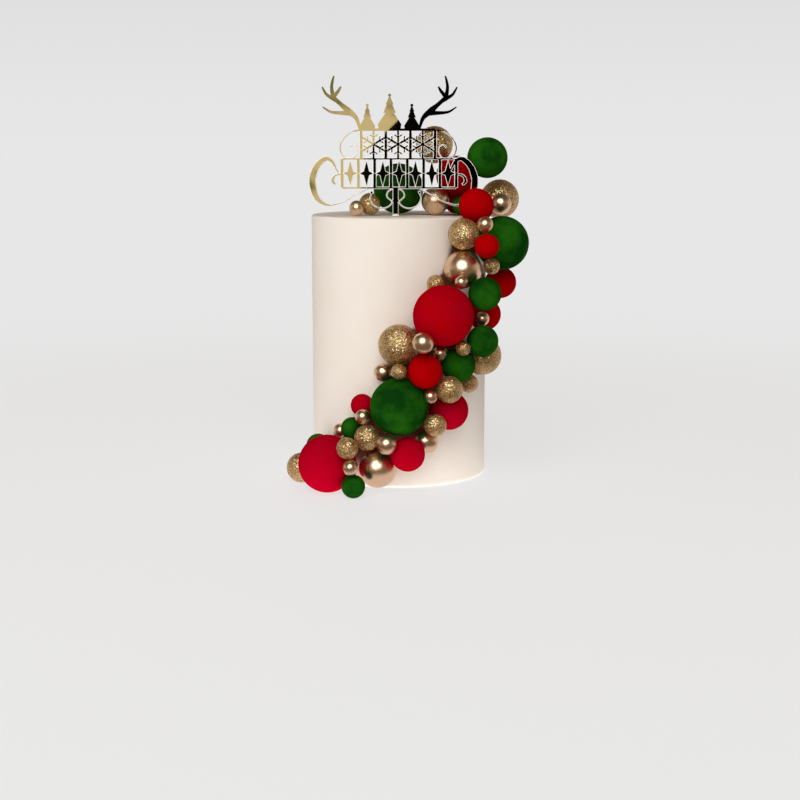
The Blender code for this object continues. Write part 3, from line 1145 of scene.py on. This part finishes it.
@dataclass
class Topper:
    """The mirror cut-out: two rows of ornament, firs and antlers above them, scrolls around them."""

    node: str = "topper"
    steps: int = 7
    stake_width: float = 5.2
    stake_foot: float = 1.0
    rail: float = 2.0
    bar: float = 3.2
    lower_row: Row = Row(middle=3.1, half=50.2, cells=7, bottom=25.0, top=50.2)
    upper_row: Row = Row(middle=2.2, half=32.3, cells=3, bottom=50.2, top=75.4)
    star_waist: float = 3.2
    arm: float = 2.6
    fork: tuple[float, float] = (6.2, math.radians(58))
    twig: tuple[float, float] = (2.0, 4.4)
    crest_middle: float = -5.2
    firs: tuple[Station, ...] = ((0, 10.3, 30.8), (-19.5, 6.7, 22.2), (19.4, 6.7, 22.2))
    tiers: tuple[Station, ...] = ((1.0, 0.15, 0.64), (0.53, 0.47, 0.88), (0.33, 0.7, 0.96))
    fir_hem: float = 0.92
    fir_stem: float = 1.2
    fir_ball: float = 1.3
    scroll_middle: float = -1.7
    swag_ball: float = 1.4
    swag_end: tuple[float, float] = (21.2, 21.0)
    cut: Cutout = field(
        default_factory=lambda: Cutout(thickness=3.0, chamfer=0.45, depth=0.25, frosted_below=74.0)
    )

    def cut_frame(self) -> None:
        """Cuts the stake, the rails and the bars between the cells."""
        lower, upper = self.lower_row, self.upper_row
        self.cut.bar((0, self.stake_foot), (0, lower.bottom), self.stake_width)
        for height, row in ((lower.bottom, lower), (lower.top, lower), (upper.top, upper)):
            self.cut.bar((row.left, height), (row.right, height), self.rail)
        for row in (lower, upper):
            for index in range(row.cells + 1):
                x = row.left + (row.right - row.left) * index / row.cells
                self.cut.bar((x, row.bottom), (x, row.top), self.bar)

    def cut_stars(self) -> None:
        """Cuts a four-pointed star in each cell of the lower row."""
        across, up = self.lower_row.half_cell()
        for centre in self.lower_row.centres():
            for reach in ((0, up), (across, 0), (0, -up), (-across, 0)):
                tip = Vector(reach)
                side = tip.orthogonal().normalized() * self.star_waist
                self.cut.add([centre - side, centre + tip, centre + side])

    def cut_snowflakes(self) -> None:
        """Cuts a six-armed snowflake in each cell of the upper row."""
        across, up = self.upper_row.half_cell()
        for centre in self.upper_row.centres():
            for degrees in range(30, 390, 60):
                arm = Vector((math.cos(math.radians(degrees)), math.sin(math.radians(degrees))))
                length = up if abs(arm.x) < 0.5 else across / abs(arm.x)
                self.cut.bar(centre, centre + arm * length, self.arm)
                fork = centre + arm * self.fork[0]
                for lean in (-self.fork[1], self.fork[1]):
                    twig = arm @ Matrix.Rotation(lean, 2)
                    self.cut.bar(fork, fork + twig * self.twig[1], self.twig[0])

    def cut_firs(self) -> None:
        """Cuts the three fir trees on the top rail, each with a ball at its tip."""
        rail = self.upper_row.top
        for offset, half_width, height in self.firs:
            x, tip = self.crest_middle + offset, rail + height
            for width_share, foot_share, tip_share in self.tiers:
                low, high = rail + foot_share * height, rail + tip_share * height
                reach = width_share * half_width
                self.cut.add([(x - reach, low), (x + reach, low), (x, high)])
            hem, skirt = self.fir_hem * half_width, rail + self.tiers[0][1] * height
            foot = [(x - hem, rail), (x + hem, rail)]
            self.cut.add([*foot, (x + half_width, skirt), (x - half_width, skirt)])
            self.cut.bar((x, rail), (x, tip), self.fir_stem)
            self.cut.dot((x, tip - self.fir_ball), self.fir_ball)

    def cut_antlers(self) -> None:
        """Cuts a pair of antlers, each with a beam, three tips and a brow tine."""
        beam = ((25.8, 75, 1.8), (29.1, 85.1, 3.6), (35.7, 91.3, 5.4), (42.2, 96.9, 3.7), (49.4, 103.2, 3.8))
        front_tip = ((49, 102, 4.0), (50.4, 111, 2.8), (49.7, 116.8, 2.2), (48.4, 121.4, 1.2))
        inner_tip = ((49, 103.4, 3.6), (45, 108.1, 2.7), (43.4, 110.6, 2.0), (42.4, 112.4, 1.2))
        outer_tip = ((47, 100.6, 3.6), (54.3, 105, 2.6), (57.1, 108.8, 1.9), (58.7, 112, 1.2))
        tine = ((33, 89.5, 4.6), (43.8, 89.8, 3.1), (48.4, 90.1, 2.5), (52.5, 91.1, 2.1), (58.4, 94.9, 1.0))
        for stroke in (beam, front_tip, inner_tip, outer_tip, tine):
            self.cut.stroke_pair(self.crest_middle, stroke, self.steps)

    def cut_scrolls(self) -> None:
        """Cuts the curled lines at both ends of the rows and below them."""
        great_scroll = (
            (48.5, 37, 1.6),
            (51.2, 43, 2.2),
            (54.6, 48.4, 3.2),
            (60, 50.2, 4.4),
            (67.2, 44.1, 5.5),
            (71.4, 32.5, 6.2),
            (69.4, 19.7, 5.4),
            (63.9, 12.5, 3.8),
            (55.5, 9.8, 1.8),
            (43.2, 13.2, 1.3),
            (34.8, 18, 1.2),
            (21.4, 25, 1.2),
        )
        hook = ((50, 37, 1.8), (56.2, 35.6, 2.2), (58.4, 30.8, 3.0), (55.6, 27.6, 2.0))
        loop = (
            (33.6, 75, 1.2),
            (40.3, 73.5, 1.2),
            (47.1, 68.5, 1.5),
            (50.9, 60.8, 1.8),
            (49.3, 53.6, 1.5),
            (44.6, 50.3, 1.2),
            (38.6, 51.2, 1.1),
            (35.6, 56, 1.1),
            (36.6, 61.2, 1.1),
            (40, 62.2, 1.2),
            (42.2, 60, 1.8),
        )
        swag = (
            (2, 15, 1.3),
            (5, 9.6, 1.2),
            (11.7, 7, 1.2),
            (19, 9.4, 1.2),
            (22.3, 15, 1.2),
            (21.2, 20.5, 1.4),
        )
        lobe = ((2, 24.6, 1.2), (6.6, 21.6, 1.2), (7.4, 17, 1.2), (2, 12.4, 1.2))
        self.cut.stroke_pair(self.scroll_middle, great_scroll, self.steps)
        self.cut.stroke_pair(self.lower_row.middle, hook, self.steps)
        self.cut.stroke_pair(self.upper_row.middle, loop, self.steps)
        self.cut.stroke_pair(0, swag, self.steps)
        self.cut.stroke_pair(0, lobe, self.steps)
        for side in (-1, 1):
            self.cut.dot((side * self.swag_end[0], self.swag_end[1]), self.swag_ball)

    def place(self) -> Vector:
        """Where the stake's axis meets the cake's top, in the middle of the sheet.

        Returns:
            The point, read from the solids of the dab and the topper.
        """
        dab_low, dab_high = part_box("stake_plug")
        low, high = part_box(self.node)
        return Vector(((dab_low.x + dab_high.x) / 2, (low.y + high.y) / 2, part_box("cake")[1].z))

    def build(self) -> None:
        """Cuts the sheet and settles it in the place of its solid."""
        self.cut_frame()
        self.cut_stars()
        self.cut_snowflakes()
        self.cut_firs()
        self.cut_antlers()
        self.cut_scrolls()
        mesh = self.cut.sheet()
        mesh.transform(Matrix.Translation(self.place()))
        settle("mirror_topper", mesh, [MIRROR, CUT_EDGE], "topper_mirror", self.node)


@dataclass
class IcingDab:
    """The dab of white icing that the topper's stake stands in."""

    node: str = "stake_plug"
    rings: int = 10
    segments: int = 40
    wobble: float = 0.16
    lobes: float = 0.55
    weld: float = 0.002 * MM

    def build(self) -> None:
        """Makes the dab and settles it in the place of its solid."""
        low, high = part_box(self.node)
        centre = Vector(((low.x + high.x) / 2, (low.y + high.y) / 2, low.z))
        radius, height = (high.x - low.x) / 2, high.z - low.z
        bm = bmesh.new()
        bmesh.ops.create_uvsphere(bm, u_segments=self.segments, v_segments=2 * self.rings, radius=1.0)
        for vert in bm.verts:
            drift = noise.noise(vert.co / self.lobes + centre / MM)
            push = 1 - self.wobble * (0.5 - 0.5 * drift)
            across, along = vert.co.x * radius * push, vert.co.y * radius * push
            vert.co = centre + Vector((across, along, max(vert.co.z, 0.0) * height * push))
        bmesh.ops.remove_doubles(bm, verts=bm.verts[:], dist=self.weld)
        bmesh.ops.recalc_face_normals(bm, faces=bm.faces[:])
        settle("icing_dab", mesh_from(bm, smooth=True), [WHITE_ICING], "plug_icing", self.node)


@dataclass(frozen=True)
class Softbox:
    """One soft light, which points at the middle of the cake.

    The angles are the one from the front towards +X and the elevation, in degrees.
    """

    name: str
    around: float
    up: float
    distance: float
    width: float
    height: float
    power: float
    mirrored: bool = False

    def hang(self) -> None:
        """Adds the light to the scene. Only a mirrored one shows in the metals."""
        around, up = math.radians(self.around), math.radians(self.up)
        way = Vector((math.sin(around) * math.cos(up), -math.cos(around) * math.cos(up), math.sin(up)))
        data = bpy.data.lights.new(self.name, "AREA")
        data.shape = "ELLIPSE" if self.mirrored else "RECTANGLE"
        data.size, data.size_y, data.energy = self.width, self.height, self.power
        light = new_object(self.name, data)
        light.location = (CAD_BOX[0] + CAD_BOX[1]) / 2 + way * self.distance
        light.rotation_euler = way.to_track_quat("Z", "Y").to_euler()
        light.visible_glossy = self.mirrored


@dataclass(frozen=True)
class Room:
    """What lies around the cake: its tone in front, at the sides and behind, and high up."""

    front: Colour
    sides: Colour
    high: Colour

    def tone(self, bench: Bench, beside: Socket, above: Socket) -> Socket:
        """Blends the room's three tones.

        Args:
            bench: The bench of the world's node tree.
            beside: The share of the sides over the front.
            above: The share of what is high up.

        Returns:
            The tone in one direction.
        """
        around = bench.blend(beside, rgba(self.front), rgba(self.sides))
        return bench.blend(above, around, rgba(self.high))


@dataclass(frozen=True)
class Card:
    """A flat card behind the camera, which only shows in the metals."""

    name: str
    outline: tuple[tuple[float, float], ...]
    light: Colour
    dark: Colour
    place: float = -1.5
    middle: tuple[float, float] = (-0.062, 0.258)
    patch: float = 0.035
    drift: float = 0.17
    fade: tuple[float, float] = (0.175, 0.245)

    def hang(self) -> None:
        """Adds the card, whose glow turns from light to dark away from its middle."""
        mesh = bpy.data.meshes.new(self.name)
        mesh.from_pydata([(x, self.place, z) for x, z in self.outline], [], [range(len(self.outline))])
        made = new_material(self.name)
        bench = Bench(made.node_tree)
        away = bench.distance((self.middle[0], self.place, self.middle[1]))
        cloud = bench.cloud(bench.place(), 1 / self.patch, detail=2.0)
        share = bench.soft_step(bench.maths("MULTIPLY_ADD", cloud, self.drift, away), self.fade, (0.0, 1.0))
        glow = bench.first("ShaderNodeEmission", {0: bench.blend(share, rgba(self.light), rgba(self.dark))})
        bench.add("ShaderNodeOutputMaterial", {"Surface": glow})
        mesh.materials.append(made)
        card = new_object(self.name, mesh)
        card.visible_camera = False
        card.visible_diffuse = False
        card.visible_shadow = False


@dataclass(frozen=True)
class Floor:
    """The pale floor, which fades into the backdrop's tone far away.

    It throws more light up under the cascade, and in the metals it is dark in front of the cake.
    """

    backdrop: float
    radius: float = 9.0
    segments: int = 96
    tone: float = 0.22
    roughness: float = 0.8
    glow: float = 0.64
    bounce: float = 1.38
    bounce_far: float = 0.44
    bounce_reach: tuple[float, float] = (0.105, 0.20)
    bounce_middle: Station = (-0.02, -0.05, 0.0)
    mirrored: Colour = (0.76, 0.67, 0.69)
    mirrored_dark: Colour = (0.16, 0.11, 0.075)
    mirrored_reach: tuple[float, float] = (0.125, 0.19)
    mirrored_front: tuple[float, float] = (0.0, 0.12)
    fade: tuple[float, float] = (0.35, 1.5)

    def mirrored_image(self, bench: Bench, away: Socket) -> Socket:
        """The floor as the metals show it.

        Args:
            bench: The bench of the floor's node tree.
            away: The distance from the cake's axis.

        Returns:
            The glow in the metals.
        """
        forward = bench.maths("MULTIPLY", bench.axes(bench.place())[1], -1.0)
        beyond = bench.soft_step(away, self.mirrored_reach, (0.0, 1.0))
        in_front = bench.soft_step(forward, self.mirrored_front, (0.0, 1.0))
        dark = bench.maths("MULTIPLY", beyond, in_front)
        tone = bench.blend(dark, rgba(self.mirrored), rgba(self.mirrored_dark))
        return bench.first("ShaderNodeEmission", {0: tone})

    def lay(self) -> None:
        """Makes the floor and its material."""
        bm = bmesh.new()
        bmesh.ops.create_circle(bm, cap_ends=True, radius=self.radius, segments=self.segments)
        made = new_material("pale_floor")
        bench = Bench(made.node_tree)
        away = bench.distance((0.0, 0.0, 0.0))
        path = bench.add("ShaderNodeLightPath", {}).outputs
        forth = bench.distance(self.bounce_middle)
        thrown = bench.soft_step(forth, self.bounce_reach, (self.bounce, self.bounce_far))
        glows = {0: path["Is Camera Ray"], 2: thrown, 3: self.glow}
        glow = bench.first("ShaderNodeMix", glows, data_type="FLOAT")
        surface = {
            "Base Color": rgba((self.tone,) * 3),
            "Roughness": self.roughness,
            "Emission Color": rgba((1.0, 1.0, 1.0)),
            "Emission Strength": glow,
        }
        near = bench.first("ShaderNodeBsdfPrincipled", surface)
        glossy = path["Is Glossy Ray"]
        seen = bench.first("ShaderNodeMixShader", {0: glossy, 1: near, 2: self.mirrored_image(bench, away)})
        far = bench.first("ShaderNodeEmission", {0: rgba((self.backdrop,) * 3)})
        distance = bench.soft_step(away, self.fade, (0.0, 1.0))
        share = bench.maths("MULTIPLY", distance, bench.maths("SUBTRACT", 1.0, glossy))
        mixed = bench.first("ShaderNodeMixShader", {0: share, 1: seen, 2: far})
        bench.add("ShaderNodeOutputMaterial", {"Surface": mixed})
        mesh = mesh_from(bm, smooth=False)
        mesh.materials.append(made)
        new_object("floor", mesh)


@dataclass
class Studio:
    """The pale floor, the soft light, the cards that the metals mirror, and the camera."""

    backdrop: float = 0.80
    backdrop_high: float = 0.73
    backdrop_rise: float = 0.12
    side_span: tuple[float, float] = (-0.8, 0.1)
    high_span: tuple[float, float] = (0.15, 0.7)
    room: Room = Room(front=(0.09, 0.07, 0.05), sides=(0.26, 0.21, 0.16), high=(0.08, 0.06, 0.045))
    mirrored_room: Room = Room(
        front=(0.16, 0.11, 0.075), sides=(0.62, 0.55, 0.48), high=(0.10, 0.07, 0.045)
    )
    softboxes: tuple[Softbox, ...] = (
        Softbox("key", -10, 32, 2.8, 2.8, 2.8, 58.5, mirrored=True),
        Softbox("fill_high", -5, 58, 2.4, 2.0, 1.2, 7),
        Softbox("fill_left", -75, 8, 2.2, 1.6, 1.0, 7.5),
        Softbox("fill_right", 100, 6, 2.2, 1.6, 1.0, 2.6),
        Softbox("fill_back", 180, 10, 2.4, 1.6, 1.0, 11),
    )
    card_edge: tuple[tuple[float, float], ...] = (
        (-0.0711, 0.14),
        (-0.0711, 0.2590),
        (-0.0549, 0.2952),
        (-0.0206, 0.3255),
        (-0.0019, 0.3453),
        (0.0080, 0.3700),
        (0.0110, 0.4700),
    )
    card_side: float = 0.20
    image: float = 800.0
    focal_pixels: float = 1481.9
    middle_column: float = 399.0
    camera_distance: float = 1.363
    camera_height: float = 0.3011
    camera_dip: float = 0.17112
    sensor: float = 36.0

    def surroundings(self) -> None:
        """Sets the world: a pale backdrop to look at, and a warm room that is dim in front of the cake."""
        world = bpy.data.worlds.new("studio")
        world.use_nodes = True
        bench = Bench(world.node_tree)
        direction = bench.axes(bench.add("ShaderNodeTexCoord", {}).outputs["Generated"])
        beside = bench.soft_step(direction[1], self.side_span, (0.0, 1.0))
        above = bench.soft_step(direction[2], self.high_span, (0.0, 1.0))
        tones = [room.tone(bench, beside, above) for room in (self.room, self.mirrored_room)]
        path = bench.add("ShaderNodeLightPath", {}).outputs
        lit = bench.blend(path["Is Glossy Ray"], *tones)
        high = bench.first("ShaderNodeMapRange", {0: direction[2], 1: 0.0, 2: self.backdrop_rise})
        backdrop = bench.blend(high, rgba((self.backdrop,) * 3), rgba((self.backdrop_high,) * 3))
        tone = bench.blend(path["Is Camera Ray"], lit, backdrop)
        background = bench.first("ShaderNodeBackground", {0: tone})
        bench.add("ShaderNodeOutputWorld", {"Surface": background})
        bpy.context.scene.world = world

    def cards(self) -> None:
        """Hangs the pale card and the dark one, which meet along the slanting edge."""
        low, high = self.card_edge[0][1], self.card_edge[-1][1]
        left = ((-self.card_side, low), *self.card_edge, (-self.card_side, high))
        right = (*self.card_edge, (self.card_side, high), (self.card_side, low))
        Card("pale_card", left, light=(0.72, 0.68, 0.60), dark=(0.19, 0.20, 0.09)).hang()
        Card("dark_card", right, light=(0.003, 0.003, 0.003), dark=(0.0, 0.0, 0.0)).hang()

    def camera(self) -> None:
        """Sets the camera where the photograph was taken from."""
        data = bpy.data.cameras.new("camera")
        data.sensor_width = self.sensor
        data.lens = self.sensor * self.focal_pixels / self.image
        data.shift_x = (self.image / 2 - self.middle_column) / self.image
        camera = new_object("camera", data)
        camera.location = (0, -self.camera_distance, self.camera_height)
        camera.rotation_euler = (math.pi / 2 - self.camera_dip, 0, 0)
        bpy.context.scene.camera = camera

    def build(self) -> None:
        """Sets up the whole studio."""
        Floor(self.backdrop).lay()
        self.surroundings()
        for softbox in self.softboxes:
            softbox.hang()
        self.cards()
        self.camera()
        bpy.context.scene.view_settings.view_transform = "Standard"
        bpy.context.scene.view_settings.look = "None"


def main() -> None:
    """Builds the studio and the pieces in order."""
    logging.basicConfig(level=logging.INFO, format="%(message)s")
    Studio().build()
    cascade = BaubleCascade()
    IcedCake().build([ball for coat in Coat for ball in cascade.balls(coat)])
    IcingDab().build()
    for coat in (Coat.RED, Coat.GREEN, Coat.GOLD):
        cascade.build(coat)
    GlitterCoat(cascade).build()
    Topper().build()


if __name__ == "__main__":
    main()
